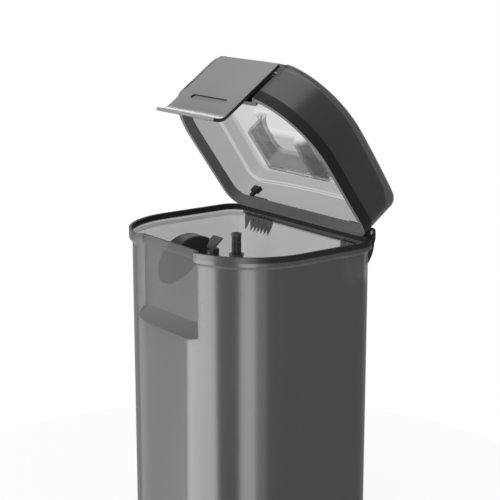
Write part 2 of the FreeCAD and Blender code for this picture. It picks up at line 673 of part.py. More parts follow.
def float_frame(along, across):
    """Point (y, z) from the upper end point: along the float's flat, and across, to its round side."""
    slope = math.radians(val("float_tilt"))
    y = val("float_pivot_y") - along * math.cos(slope) - across * math.sin(slope)
    z = val("body_height - float_pivot_down") - along * math.sin(slope) + across * math.cos(slope)
    return (y, z)


def float_parts():
    """Float on an eye below its flat, held between the two prongs of a forked plate on the post."""
    middle = val("float_in - body_width / 2")
    half = val("float_thick") / 2
    near, far = val("float_neck"), val("float_neck + float_length")
    centre = (near + far) / 2
    gap, thick = val("plate_gap"), val("plate_thick")
    along, across = val("eye_along"), -gap - thick / 2
    pin_y, pin_z = float_frame(along, across)
    ear, play = val("float_ear"), val("pin_play")
    arm_half, plate_half, slot_half = val("arm_half"), val("plate_half"), val("slot_half")
    pin_r = val("float_pin_r")

    def turned(name, radius, x0, x1):
        thing = doc.addObject("Part::Feature", name)
        thing.Shape = Part.makeCylinder(radius, x1 - x0, Vector(x0, pin_y, pin_z), Vector(1, 0, 0))
        return thing

    body = profile_bar("float_shape", [
        float_frame(near, 0), (float_frame(centre, val("float_crown")), float_frame(far, 0)),
        (float_frame(centre, -val("float_belly")), float_frame(near, 0))], middle - half, middle + half)
    body = round_edges("float_round", body, "float_thick / 8", lambda e: e.BoundBox.XLength < 1e-4)
    arm = profile_bar("float_arm", [
        float_frame(along - 2, 0), float_frame(along + 4, 0), float_frame(along + 2, across),
        float_frame(along - 2, across)], middle - arm_half, middle + arm_half)
    magnet_y, magnet_z = float_frame(far - 14, 3)
    magnet_r, magnet_length = val("magnet_r"), val("magnet_length")
    at = Vector(middle - magnet_length / 2, magnet_y, magnet_z)
    room = doc.addObject("Part::Feature", "magnet_room")
    room.Shape = Part.makeCylinder(magnet_r + 0.1, magnet_length + 0.2, at - Vector(0.1, 0, 0),
                                   Vector(1, 0, 0))
    eye = turned("float_eye", ear, middle - arm_half, middle + arm_half)
    hole = turned("float_hole", pin_r + play, middle - arm_half * 2, middle + arm_half * 2)
    finish(cut("float", fuse("float_solid", [body, arm, eye]), fuse("float_cuts", [hole, room])),
           "float_body")
    magnet = doc.addObject("Part::Feature", "magnet")
    magnet.Shape = Part.makeCylinder(magnet_r, magnet_length, at, Vector(1, 0, 0))
    finish(magnet, "float_magnet")
    finish(turned("float_pin", pin_r, middle - 5.5, middle + 5.5), "float_pin")

    lead, stop_near = val("plate_lead"), val("stop_near")
    low_end = val("plate_length") - lead
    plate = profile_bar("back_plate", [
        float_frame(-lead, -gap), float_frame(low_end, -gap), float_frame(low_end, -gap - thick),
        float_frame(-lead, -gap - thick)], middle - plate_half, middle + plate_half)
    slot = profile_bar("plate_slot", [
        float_frame(along - ear - 1, 1), float_frame(low_end + 1, 1), float_frame(low_end + 1,
                                                                                  -gap - thick - ear),
        float_frame(along - ear - 1, -gap - thick - ear)], middle - slot_half, middle + slot_half)
    stop = profile_bar("float_stop", [
        float_frame(low_end - 3, -stop_near), float_frame(low_end, -stop_near), float_frame(low_end,
                                                                                            -gap - thick),
        float_frame(low_end - 3, -gap - thick)], middle - plate_half, middle + plate_half)
    boss = turned("pin_boss", ear - 0.4, middle - 5.4, middle + 5.4)
    pin_hole = turned("pin_hole", pin_r + play, middle - 8, middle + 8)
    ring_low = "body_height - post_top - 11"
    ring = cylinder("bracket_ring", "post_r + 2.4", "7", (RISER_X, "post_y", ring_low), "Z")
    clamp = cylinder("bracket_hole", "post_r + pin_play", "9",
                     (RISER_X, "post_y", "body_height - post_top - 12"), "Z")
    level = val(ring_low)
    low_y, low_z = float_frame(along - ear - 1, -gap - thick / 2)
    bracket_arm = profile_bar("bracket_arm", [
        (val("post_y") - 4.5, level + 7), (low_y + 0.8, level + 7), (low_y + 0.4, low_z + 0.6),
        (low_y - 0.8, low_z - 0.6), (low_y - 1, level + 3), (val("post_y") - 4.5, level + 1)],
        middle - plate_half, middle - slot_half)
    solid = cut("bracket_slotted", fuse("bracket_solid", [plate, stop, boss]), slot)
    solid = fuse("bracket_joined", [solid, ring, bracket_arm])
    finish(cut("bracket", solid, fuse("bracket_holes", [clamp, pin_hole])), "float_bracket")


def outlet_valve():
    """Spring-loaded outlet in the floor: flanged housing, seal, plunger, spring and strainer."""
    y = "outlet_y"
    flange = cylinder("outlet_flange", "outlet_r", "2.4", ("0", y, "floor_thick + 1.3"), "Z")
    neck = cylinder("outlet_neck", "outlet_r - 4", "floor_thick + 1.3", ("0", y, "0.6"), "Z")
    tower = cylinder("outlet_tower", "outlet_r - 4", "12", ("0", y, "floor_thick + 1.3"), "Z")
    bore = cylinder("outlet_bore", "outlet_bore", "20", ("0", y, "0"), "Z")
    chamber = cylinder("outlet_chamber", "outlet_bore + 1.6", "9", ("0", y, "floor_thick + 1.3"), "Z")
    ports = [box("outlet_port_x", ("outlet_r * 2", "6", "5"),
                 ("-outlet_r", "outlet_y - 3", "floor_thick + 5")),
             box("outlet_port_y", ("6", "outlet_r * 2", "5"),
                 ("-3", "outlet_y - outlet_r", "floor_thick + 5"))]
    solid = cut("outlet_turned", fuse("outlet_solid", [flange, neck, tower]),
                fuse("outlet_hollow", [bore, chamber] + ports))
    bridge = box("outlet_bridge", ("(outlet_bore + 0.5) * 2", "4", "2"),
                 ("-outlet_bore - 0.5", "outlet_y - 2", "floor_thick + 11.3"))
    guide = cylinder("outlet_guide", "3", "2", ("0", y, "floor_thick + 11.3"), "Z")
    guide_bore = cylinder("outlet_guide_bore", "1.6", "4", ("0", y, "floor_thick + 10.3"), "Z")
    solid = cut("outlet_housing", fuse("outlet_bridged", [solid, bridge, guide]), guide_bore)
    finish(solid, "outlet_housing")
    finish(tube("outlet_seal", "outlet_r - 0.5", "outlet_r - 4 + 0.1", "floor_thick", "floor_thick + 1.3",
                "0", y), "outlet_seal")
    disc = cylinder("valve_disc", "outlet_bore + 1.2", "1.8", ("0", y, "floor_thick + 1.3"), "Z")
    nose = cylinder("valve_nose", "outlet_bore - 0.6", "floor_thick - 0.4", ("0", y, "1.8"), "Z")
    stem = cylinder("valve_stem", "1.5", "14", ("0", y, "floor_thick + 1.3"), "Z")
    finish(fuse("valve", [disc, nose, stem]), "outlet_plunger")
    finish(tube("valve_spring", "valve_spring_r + valve_wire / 2", "valve_spring_r - valve_wire / 2",
                "floor_thick + 3.12", "floor_thick + 11.28", "0", y), "outlet_spring")
    cup = tube("strainer_wall", "outlet_r - 1.6", "outlet_r - 2.6", "floor_thick + 3.8",
               "floor_thick + 24", "0", y)
    lid = cylinder("strainer_top", "outlet_r - 1.6", "1", ("0", y, "floor_thick + 23"), "Z")
    slots = []
    for i in range(6):
        slot = box("strainer_slot_%d" % i, ("outlet_r * 4", "2.6", "14"),
                   ("-outlet_r * 2", "outlet_y - 1.3", "floor_thick + 6.5"))
        slots.append(slot)
    turned = []
    for i, slot in enumerate(slots):
        doc.recompute()
        copy = doc.addObject("Part::Feature", "strainer_cut_%d" % i)
        shape = slot.Shape.copy()
        shape.rotate(Vector(0, val("outlet_y"), 0), Vector(0, 0, 1), 30 * i)
        copy.Shape = shape
        turned.append(copy)
    finish(cut("strainer", fuse("strainer_solid", [cup, lid]), fuse("strainer_slots", turned)),
           "outlet_strainer")


tank_body()
hinge_pins()
riser()
post()
float_parts()
outlet_valve()
tank_nodes = len(NODES)
lid_shell()
lid_seal()
lid_clip()
latch_plate()
latch_pin()
latch_springs()
doc.recompute()

opened = Placement(Vector(), Rotation(Vector(1, 0, 0), -val("open_angle")),
                   Vector(0, val(AXIS_Y), val(AXIS_Z)))
for node in NODES[tank_nodes:]:
    for path, _ in node.ExpressionEngine:
        if "Placement" in path:
            node.setExpression(path, None)
    node.Placement = opened.multiply(node.Placement)
doc.recompute()

for thing in doc.Objects:
    if "Invalid" in thing.State or "Error" in thing.State:
        raise RuntimeError("%s failed: %s" % (thing.Name, thing.State))
os.makedirs("parts", exist_ok=True)
for node in NODES:
    if node.Shape.isNull() or not node.Shape.isValid() or not node.Shape.Solids:
        raise RuntimeError("bad shape: " + node.Label)
    node.Shape.exportStep("parts/%s.step" % node.Label)
    box_of = node.Shape.BoundBox
    print("%-20s solids %d volume %.1f  z %.2f to %.2f" % (
        node.Label, len(node.Shape.Solids), node.Shape.Volume, box_of.ZMin, box_of.ZMax))
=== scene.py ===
import math

import bpy
import numpy as np
from mathutils import Matrix, Vector


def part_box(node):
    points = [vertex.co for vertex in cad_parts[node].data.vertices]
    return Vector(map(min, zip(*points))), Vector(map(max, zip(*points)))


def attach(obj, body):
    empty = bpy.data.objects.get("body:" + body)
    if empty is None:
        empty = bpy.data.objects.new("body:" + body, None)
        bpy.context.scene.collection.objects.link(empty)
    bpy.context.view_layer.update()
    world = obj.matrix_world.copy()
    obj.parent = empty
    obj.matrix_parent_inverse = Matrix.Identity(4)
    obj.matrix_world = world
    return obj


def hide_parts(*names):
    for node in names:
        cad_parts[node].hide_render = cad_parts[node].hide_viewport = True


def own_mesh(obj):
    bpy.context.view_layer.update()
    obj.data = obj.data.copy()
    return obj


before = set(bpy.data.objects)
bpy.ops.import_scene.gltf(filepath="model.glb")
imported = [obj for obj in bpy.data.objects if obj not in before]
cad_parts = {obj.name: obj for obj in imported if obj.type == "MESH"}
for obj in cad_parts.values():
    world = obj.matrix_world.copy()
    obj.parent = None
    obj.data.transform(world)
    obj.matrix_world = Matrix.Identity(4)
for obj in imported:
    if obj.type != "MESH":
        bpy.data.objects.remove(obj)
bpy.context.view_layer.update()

# Tank frame in metres: +Z up, the latch side is -Y, the lid's hinge line runs along X.
HINGE = Vector((0, 0.0688, 0.24295))
OPEN_ANGLE = math.radians(54.8)
RIM_Z = 0.240
LID_EDGE_Z = 0.2335
REAR_WALL = 0.0652
LATCH_PIVOT = Vector((0, -0.06095, LID_EDGE_Z + 0.028))
UP = (0, 0, 1)


def opened(point):
    """A closed-lid point turned about the hinge line to where the open lid holds it."""
    return Matrix.Rotation(-OPEN_ANGLE, 4, "X") @ (Vector(point) - HINGE) + HINGE


def turned(direction):
    """A direction of the closed lid, turned to the open lid."""
    return Matrix.Rotation(-OPEN_ANGLE, 3, "X") @ Vector(direction)


def facing_out(azimuth, elevation):
    """Unit vector from the part towards something seen at that azimuth and elevation, in radians."""
    return Vector((math.sin(azimuth) * math.cos(elevation), -math.cos(azimuth) * math.cos(elevation),
                   math.sin(elevation)))


# Camera: the photograph's viewing angle, found from the tank's rim and the lid's outline.
CAMERA_AZIMUTH = math.radians(52.82)
CAMERA_ELEVATION = math.radians(13.5)
CAMERA_SHIFT = (0.01052, -0.01432, 1.04654)
CAMERA_LENS = 100.47
SENSOR_WIDTH = 36
CLIP_START = 0.01


def place_camera():
    """Camera looking at the rim's centre from the photograph's azimuth, elevation and distance."""
    right = Vector((math.cos(CAMERA_AZIMUTH), math.sin(CAMERA_AZIMUTH), 0))
    back = facing_out(CAMERA_AZIMUTH, CAMERA_ELEVATION)
    up = back.cross(right)
    side, rise, distance = CAMERA_SHIFT
    spot = Vector((0, 0, RIM_Z)) + right * side + up * rise + back * distance
    data = bpy.data.cameras.new("camera")
    data.lens = CAMERA_LENS
    data.sensor_width = SENSOR_WIDTH
    data.clip_start = CLIP_START
    camera = bpy.data.objects.new("camera", data)
    camera.matrix_world = Matrix((
        (right.x, up.x, back.x, spot.x), (right.y, up.y, back.y, spot.y),
        (right.z, up.z, back.z, spot.z), (0, 0, 0, 1)))
    bpy.context.scene.collection.objects.link(camera)
    bpy.context.scene.camera = camera


# Noise: the part of its range that is used, its scales and the fine skin of a moulding.
NOISE_SPAN = (0.3, 0.7)
CLOUD_SCALE = 35.0
GLOSS_SCALE = 120.0
SKIN_SCALE = 900.0
SKIN_STRENGTH = 0.35
SKIN_DEPTH = 0.00002


class Nodes:
    """Short way to build a material's node tree. A span is a pair of values that a look fades between."""

    def __init__(self, name):
        self.material = bpy.data.materials.new(name)
        self.material.use_nodes = True
        self.tree = self.material.node_tree
        self.tree.nodes.clear()
        self.output = self.tree.nodes.new("ShaderNodeOutputMaterial")

    def add(self, kind, inputs=None, **settings):
        node = self.tree.nodes.new("ShaderNode" + kind)
        for key, value in settings.items():
            setattr(node, key, value)
        for key, value in (inputs or {}).items():
            self.put(node.inputs[key], value)
        return node

    def put(self, socket, value):
        if isinstance(value, bpy.types.NodeSocket):
            self.tree.links.new(value, socket)
        else:
            socket.default_value = value

    def math(self, operation, a, b=0.0, c=0.0):
        return self.add("Math", {0: a, 1: b, 2: c}, operation=operation).outputs[0]

    def both(self, a, b):
        return self.math("MULTIPLY", a, b)

    def either(self, a, b):
        return self.math("MAXIMUM", a, b)

    def without(self, a):
        return self.math("SUBTRACT", 1.0, a)

    def size(self, a):
        return self.math("ABSOLUTE", a)

    def dot(self, a, b):
        return self.add("VectorMath", {0: a, 1: b}, operation="DOT_PRODUCT").outputs["Value"]

    def ramp(self, value, low, high, at_low, at_high):
        """Smooth step from at_low to at_high as value goes from low to high."""
        node = self.add("MapRange", {"Value": value, "From Min": low, "From Max": high,
                                     "To Min": at_low, "To Max": at_high}, interpolation_type="SMOOTHSTEP")
        return node.outputs["Result"]

    def rise(self, value, span):
        """0 below the span and 1 above it."""
        return self.ramp(value, *span, 0.0, 1.0)

    def fall(self, value, span):
        """1 below the span and 0 above it."""
        return self.ramp(value, *span, 1.0, 0.0)

    def uneven(self, noise, low, high):
        """A value that wanders from low to high with a noise."""
        return self.ramp(noise, *NOISE_SPAN, low, high)

    def mix(self, low, high, fraction):
        """Blend of two colours or two plain values, each a number, a colour or a socket."""
        node = self.add("MixRGB", {"Fac": fraction})
        for slot, value in ((1, low), (2, high)):
            self.put(node.inputs[slot], (value,) * 3 + (1,) if isinstance(value, float) else value)
        return node.outputs[0]

    def place(self):
        return self.add("TexCoord").outputs["Object"]

    def noise(self, scale, detail=3.0):
        return self.add("TexNoise", {"Vector": self.place(), "Scale": scale, "Detail": detail}).outputs["Fac"]

    def bump(self, height, strength, distance):
        inputs = {"Height": height, "Strength": strength, "Distance": distance}
        return self.add("Bump", inputs).outputs["Normal"]

    def skin(self):
        """Normal of a moulding's fine skin texture."""
        return self.bump(self.noise(SKIN_SCALE, 2.0), SKIN_STRENGTH, SKIN_DEPTH)

    def finish(self, shader):
        self.tree.links.new(shader, self.output.inputs["Surface"])
        return self.material


def grey(level):
    return (level, level, level * 1.01, 1)


TONE_SPREAD = 0.12
GLOSS_SPREAD = 0.15


def plastic(name, level, roughness):
    """Moulded plastic: faint cloudy tone, a fine skin texture in bump and uneven gloss."""
    n = Nodes(name)
    tone = n.mix(grey(level * (1 - TONE_SPREAD)), grey(level * (1 + TONE_SPREAD)), n.noise(CLOUD_SCALE))
    rough = n.uneven(n.noise(GLOSS_SCALE), roughness * (1 - GLOSS_SPREAD), roughness * (1 + GLOSS_SPREAD))
    shader = n.add("BsdfPrincipled", {"Base Color": tone, "Roughness": rough, "Normal": n.skin()})
    return n.finish(shader.outputs[0])


STREAK_SCALE = (60.0, 4000.0, 4000.0)
STREAK_SPREAD = 0.3


def metal(name, level, roughness):
    """Drawn steel with fine streaks along X."""
    n = Nodes(name)
    streaks = n.add("Mapping", {"Vector": n.place(), "Scale": STREAK_SCALE})
    lines = n.add("TexNoise", {"Vector": streaks.outputs[0], "Scale": 1.0}).outputs["Fac"]
    rough = n.uneven(lines, roughness * (1 - STREAK_SPREAD), roughness * (1 + STREAK_SPREAD))
    shader = n.add("BsdfPrincipled", {"Base Color": grey(level), "Metallic": 1.0, "Roughness": rough})
    return n.finish(shader.outputs[0])


class Spot:
    """Where a shaded point is, how level its face is, and whether it looks away from the part's middle.
    All of it is in the object's own coordinates, so it stays put on the surface."""

    def __init__(self, n, centre, up):
        texture = n.add("TexCoord")
        self.x, self.y, self.z = n.add("SeparateXYZ", {0: texture.outputs["Object"]}).outputs
        normal = texture.outputs["Normal"]
        away = n.add("VectorMath", {0: texture.outputs["Object"], 1: centre}, operation="SUBTRACT").outputs[0]
        self.outside = n.math("GREATER_THAN", n.dot(away, normal), 0.0)
        self.level = n.size(n.dot(normal, up))


CLEAR_ROUGHNESS = 0.08
THICK_ROUGHNESS = 0.5
SHINE = 0.5
THICK_SHINE = 0.06
WAVE_SCALE = 60.0
WAVE_STRENGTH = 0.06
WAVE_DEPTH = 0.0004


def smoked(name, centre, up, look, polish, index):
    """Smoked clear wall with a glossy, faintly wavy skin. look(n, spot) gives the tone, the share of light
    held back, where the moulding is thick, which is duller, and where it is clear, which is smoother."""
    n = Nodes(name)
    tone, alpha, thick, clear = look(n, Spot(n, centre, up))
    rough = n.mix(n.mix(polish, CLEAR_ROUGHNESS, clear), THICK_ROUGHNESS, thick)
    normal = n.bump(n.noise(WAVE_SCALE, 1.0), WAVE_STRENGTH, WAVE_DEPTH)
    shader = n.add("BsdfPrincipled", {
        "Base Color": tone, "Roughness": rough, "Alpha": alpha, "Normal": normal, "IOR": index,
        "Specular IOR Level": n.mix(SHINE, THICK_SHINE, thick)})
    return n.finish(shader.outputs[0])


BAND_CORE = 0.4


def band(n, value, middle, half):
    """1 at middle, falling to 0 at half either side."""
    return n.fall(n.size(n.math("SUBTRACT", value, middle)), (half * BAND_CORE, half))


# Tank's look. The spans are places in the tank frame, except FLAT_LEVEL, which is how level a face is.
FRONT_Y = (-0.0550, -0.0500)
RECESS_X = (0.038, 0.043)
RECESS_Z = (0.166, 0.186)
HINGE_CORNER_Y = (0.028, 0.040)
HINGE_CORNER_Z = (0.205, 0.216)
LEDGE_Z = (0.20, 0.21)
COLLAR_Z = (RIM_Z - 0.0052, RIM_Z - 0.0044)
COLLAR_EDGE_Z = (RIM_Z - 0.0046, RIM_Z - 0.0038)
COLLAR_EDGE_Y = (-0.056, -0.030)
COLLAR_EDGE_FRONT = 0.15
BRACKET_Y = (REAR_WALL, REAR_WALL + 0.0003)
FLAT_LEVEL = (0.6, 0.8)
TANK_HELD = {"outer": 0.96, "hinge_corner": 0.80, "recess": 0.60, "inner": 0.41, "thick": 0.96}
TANK_TONE = {"outer": grey(0.045), "inner": grey(0.22), "thick": grey(0.022)}


def tank_look(n, spot):
    """Dense smoked sides, a clearer front recess, pale inner faces, and black where the moulding is thick:
    the inside and top of the rim's collar and the hinge brackets behind the rear wall."""
    recess = n.both(n.fall(spot.y, FRONT_Y), n.rise(spot.z, RECESS_Z))
    recess = n.both(recess, n.fall(n.size(spot.x), RECESS_X))
    hinge_corner = n.both(n.rise(spot.y, HINGE_CORNER_Y), n.rise(spot.z, HINGE_CORNER_Z))
    outer = n.mix(TANK_HELD["outer"], TANK_HELD["hinge_corner"], hinge_corner)
    outer = n.mix(outer, TANK_HELD["recess"], recess)
    flat = n.rise(spot.level, FLAT_LEVEL)
    collar = n.rise(spot.z, COLLAR_Z)
    ledge = n.both(flat, n.both(n.rise(spot.z, LEDGE_Z), n.without(collar)))
    outside = n.both(spot.outside, n.without(ledge))
    edge = n.both(n.rise(spot.z, COLLAR_EDGE_Z), n.ramp(spot.y, *COLLAR_EDGE_Y, COLLAR_EDGE_FRONT, 1.0))
    top = n.either(n.without(spot.outside), n.either(edge, flat))
    thick = n.either(n.both(collar, top), n.rise(spot.y, BRACKET_Y))
    tone = n.mix(n.mix(TANK_TONE["inner"], TANK_TONE["outer"], outside), TANK_TONE["thick"], thick)
    alpha = n.mix(n.mix(TANK_HELD["inner"], outer, outside), TANK_HELD["thick"], thick)
    return tone, alpha, thick, 0.0


def lid_axis(n, spot, along_y, along_z, start):
    """Closed lid's own coordinate from a point of the open lid, as start plus its two turned parts."""
    across = n.both(n.math("SUBTRACT", spot.y, HINGE.y), along_y)
    rise = n.both(n.math("SUBTRACT", spot.z, HINGE.z), along_z)
    return n.math("ADD", n.math("ADD", across, rise), start)


# Lid's look, as the closed lid lies. UP is a height above the lid's edge, BACK a distance behind the tank's
# middle, ASIDE one from the hand well's middle, and LEVEL how level a face is.
# These two place a painted highlight: a thin light line inside the lid where the walls break into the bevel
# under the roof.
CREASE_UP = 0.0331
CREASE_HIGHLIGHT_HALF = 0.0009
ROOF_RADIUS = 0.9
# The latch's housing behind the front wall is a real moulding; its greyer, denser look inside the lid is
# painted shade.
HOUSING_BACK = (-0.0585, -0.0560)
ARMS_BACK = (REAR_WALL - 0.0005, REAR_WALL)
WELL_MIDDLE = 0.0155
WELL_X = (0.0462, 0.0470)
WELL_ASIDE = (0.0222, 0.0228)
WELL_UP = (0.013, 0.015)
# Painted shade on the well's walls: darker towards the right side and in the rear lower corner, lighter at
# the front and rear.
WALLS_X = (-0.02, 0.03)
WALLS_RIGHT_X = (0.0235, 0.0255)
WALLS_UP = (0.0195, 0.0240)
WALLS_REAR_BACK = (0.033, 0.035)
WALLS_FRONT_BACK = (-0.0035, 0.0005)
CORNER_BACK = (0.0305, 0.0325)
CORNER_UP = (0.0225, 0.0250)
# Painted highlight: a thin light line down the well's right side, centred at this x and this wide.
GLINT_X = 0.0385
GLINT_HALF = 0.0014
# Faces steeper than this carry painted shade inside the lid: they hold back more light than the level roof.
STEEP_SHADE_LEVEL = (0.74, 0.95)
ROOF_LEVEL = (0.90, 0.985)
# In LID_HELD the housing's and the steeper faces' shares are painted shade, and the highlights' share a
# painted highlight.
LID_HELD = {"outer": 0.95, "outer_roof": 0.30, "roof": 0.25, "slope": 0.43, "housing": 0.75, "painted_highlights": 0.12,
            "arms": 0.96}
# Only the floor's share below is the well's own; the sides' and corner's shares are painted shade.
WELL_HELD = {"floor": 0.36, "left": 0.40, "right": 0.72, "rear": 0.15, "front": 0.14, "corner": 0.66}
LID_TONE = {"outer": grey(0.035), "inner": grey(0.22), "well": grey(0.10), "arms": grey(0.012)}


def lid_look(n, spot):
    """Dense smoked walls and a clear roof and well. Inside, painted highlights run as light lines where the
    walls break into the bevel under the roof and down the well. Painted shade darkens the steeper inner
    faces, parts of the well's sides and the latch's housing behind the front wall."""
    height = lid_axis(n, spot, math.sin(OPEN_ANGLE), math.cos(OPEN_ANGLE), HINGE.z - LID_EDGE_Z)
    back = lid_axis(n, spot, math.cos(OPEN_ANGLE), -math.sin(OPEN_ANGLE), HINGE.y)
    reach = n.math("ADD", n.both(spot.x, spot.x), n.both(back, back))
    # Painted highlight: a thin light line on the inner faces where the walls break into the bevel, lower
    # towards the edge with the roof's dome.
    crease_height = n.math("SUBTRACT", CREASE_UP, n.math("DIVIDE", reach, 2 * ROOF_RADIUS))
    crease_highlight = band(n, n.math("SUBTRACT", height, crease_height), 0.0, CREASE_HIGHLIGHT_HALF)
    crease_highlight = n.both(crease_highlight, n.without(spot.outside))
    # Painted shade: the latch's housing region holds back more light and takes a darker tone.
    housing = n.fall(back, HOUSING_BACK)
    arms = n.rise(back, ARMS_BACK)
    aside = n.size(n.math("SUBTRACT", back, WELL_MIDDLE))
    well = n.both(n.fall(n.size(spot.x), WELL_X), n.both(n.fall(aside, WELL_ASIDE), n.rise(height, WELL_UP)))
    outside = n.both(spot.outside, n.without(well))
    # Painted shade on the well: its right side and rear lower corner hold back more light than its left,
    # front and rear.
    walls = n.ramp(spot.x, *WALLS_X, WELL_HELD["left"], WELL_HELD["right"])
    walls = n.mix(walls, WELL_HELD["rear"], n.rise(back, WALLS_REAR_BACK))
    walls = n.mix(walls, WELL_HELD["front"], n.fall(back, WALLS_FRONT_BACK))
    walled = n.either(n.rise(height, WALLS_UP), n.rise(spot.x, WALLS_RIGHT_X))
    corner = n.both(n.rise(back, CORNER_BACK), n.fall(height, CORNER_UP))
    well_held_and_shade = n.mix(n.mix(WELL_HELD["floor"], walls, walled), WELL_HELD["corner"], corner)
    # Painted highlights: the light line under the bevel and the one down the well hold back little light.
    painted_highlights = n.either(crease_highlight, n.both(well, band(n, spot.x, GLINT_X, GLINT_HALF)))
    # Painted shade: steeper inner faces hold back more light than the level roof, so the walls and bevel read
    # darker.
    inner = n.mix(LID_HELD["roof"], LID_HELD["slope"], n.fall(spot.level, STEEP_SHADE_LEVEL))
    inner = n.mix(n.mix(inner, well_held_and_shade, well), LID_HELD["housing"], housing)
    inner = n.mix(inner, LID_HELD["painted_highlights"], painted_highlights)
    outer = n.ramp(spot.level, *ROOF_LEVEL, LID_HELD["outer"], LID_HELD["outer_roof"])
    # The darker tone on the well and the latch's housing is painted shade.
    tone = n.mix(LID_TONE["inner"], LID_TONE["well"], n.either(well, housing))
    tone = n.mix(n.mix(tone, LID_TONE["outer"], outside), LID_TONE["arms"], arms)
    alpha = n.mix(n.mix(inner, outer, outside), LID_HELD["arms"], arms)
    return tone, alpha, arms, n.either(well, n.rise(spot.level, ROOF_LEVEL))


def seal_look(centre):
    """Rubber of the lid's seal: dull black outside, greyer on its inner face."""
    n = Nodes("seal rubber")
    tone = n.mix(grey(0.16), grey(0.014), Spot(n, centre, UP).outside)
    shader = n.add("BsdfPrincipled", {
        "Base Color": tone, "Roughness": n.uneven(n.noise(GLOSS_SCALE), 0.5, 0.6),
        "Normal": n.skin(), "Specular IOR Level": 0.2})
    return n.finish(shader.outputs[0])


# Faces turned this way keep the latch's satin grey; every other face turns near black as painted shade.
LIT_FACE_WAY = (0, -1, 0.25)
LIT_FACE_SPAN = (0.10, 0.30)


def latch_look():
    """Satin grey plastic, kept grey on the front face and the lip's upper side; its sides and underside are
    near black as painted shade.
    """
    n = Nodes("latch plastic")
    facing = n.dot(n.add("TexCoord").outputs["Normal"], tuple(turned(LIT_FACE_WAY)))
    lit_grey = n.mix(grey(0.20), grey(0.24), n.noise(25.0, 1.0))
    # Painted shade: near black on the faces that turn away from the front.
    tone = n.mix(grey(0.02), lit_grey, n.rise(facing, LIT_FACE_SPAN))
    rough = n.uneven(n.noise(12.0, 1.0), 0.30, 0.36)
    shader = n.add("BsdfPrincipled", {"Base Color": tone, "Roughness": rough})
    return n.finish(shader.outputs[0])


TANK_CENTRE = (0, 0.01, 0.11)
LID_CENTRE = tuple(opened((0, 0, LID_EDGE_Z - 0.02)))
LID_UP = tuple(turned(UP))


def dress():
    """Gives every shown CAD node its finish."""
    finishes = {
        "tank_body": smoked("smoked tank", TANK_CENTRE, UP, tank_look, polish=0.20, index=1.9),
        "lid_shell": smoked("smoked lid", LID_CENTRE, LID_UP, lid_look, polish=0.28, index=1.45),
        "lid_seal": seal_look(LID_CENTRE),
        "hinge_clip": plastic("black plastic", 0.02, 0.35),
        "latch_plate": latch_look(),
        "riser_tube": plastic("riser plastic", 0.05, 0.25),
        "riser_end_ring": plastic("riser ring plastic", 0.12, 0.25),
        "riser_pipe": plastic("riser pipe plastic", 0.09, 0.30),
        "float_post": plastic("post plastic", 0.05, 0.30),
        "post_cap": plastic("cap plastic", 0.02, 0.25),
        "float_body": plastic("float plastic", 0.016, 0.55),
        "float_bracket": plastic("bracket plastic", 0.14, 0.45),
        "float_magnet": plastic("magnet", 0.05, 0.5),
        "outlet_housing": plastic("outlet plastic", 0.05, 0.4),
        "outlet_seal": plastic("outlet rubber", 0.02, 0.6),
        "outlet_plunger": plastic("plunger plastic", 0.4, 0.35),
        "outlet_strainer": plastic("strainer plastic", 0.3, 0.4),
    }
    steel = metal("steel", 0.55, 0.3)
    for name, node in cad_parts.items():
        node.data.materials.clear()
        node.data.materials.append(finishes.get(name, steel))


TURN_STEPS = 28
WIRE_SIDES = 8
TAIL_STEPS = 6


def coil(name, start, axis, side, radius, wire, turns, length, tails=()):
    """Coiled spring: a round wire of radius wire swept along the helix
    P(t) = start + axis * length * t + radius * (side * cos(2 pi turns t) + other * sin(2 pi turns t)),
    t from 0 to 1, with other = axis x side. Each tail carries the wire on from its end by a vector."""
    other = np.cross(axis, side)
    t = np.linspace(0, 1, int(turns * TURN_STEPS) + 1)[:, None]
    angle = 2 * np.pi * turns * t
    path = start + axis * length * t + radius * (side * np.cos(angle) + other * np.sin(angle))
    for tail in tails:
        path = np.vstack([path, path[-1] + np.linspace(0.1, 1, TAIL_STEPS)[:, None] * tail])
    ahead = np.gradient(path, axis=0)
    ahead /= np.linalg.norm(ahead, axis=1)[:, None]
    across = np.cross(ahead, axis)
    across /= np.linalg.norm(across, axis=1)[:, None]
    up = np.cross(across, ahead)
    around = np.linspace(0, 2 * np.pi, WIRE_SIDES, endpoint=False)
    rings = (path[:, None] + wire * (across[:, None] * np.cos(around)[None, :, None]
                                     + up[:, None] * np.sin(around)[None, :, None]))
    index = np.arange(len(path) * WIRE_SIDES).reshape(len(path), WIRE_SIDES)
    after = np.roll(index, -1, axis=1)
    quads = np.stack([index[:-1], after[:-1], after[1:], index[1:]], axis=2).reshape(-1, 4)
    faces = quads.tolist() + [index[0][::-1].tolist(), index[-1].tolist()]
    mesh = bpy.data.meshes.new(name)
    mesh.from_pydata(rings.reshape(-1, 3).tolist(), [], faces)
    mesh.polygons.foreach_set("use_smooth", [True] * len(faces))
    spring = bpy.data.objects.new(name, mesh)
    bpy.context.scene.collection.objects.link(spring)
    return spring


# Springs, in metres.
LATCH_COIL_X = 0.0245
LATCH_COIL_RADIUS = 0.00165
LATCH_COIL_LENGTH = 0.002
LATCH_WIRE = 0.00025
LATCH_TURNS = 4.0
LATCH_LEG = 0.009
OUTLET_WIRE = 0.00035
OUTLET_TURNS = 6.0


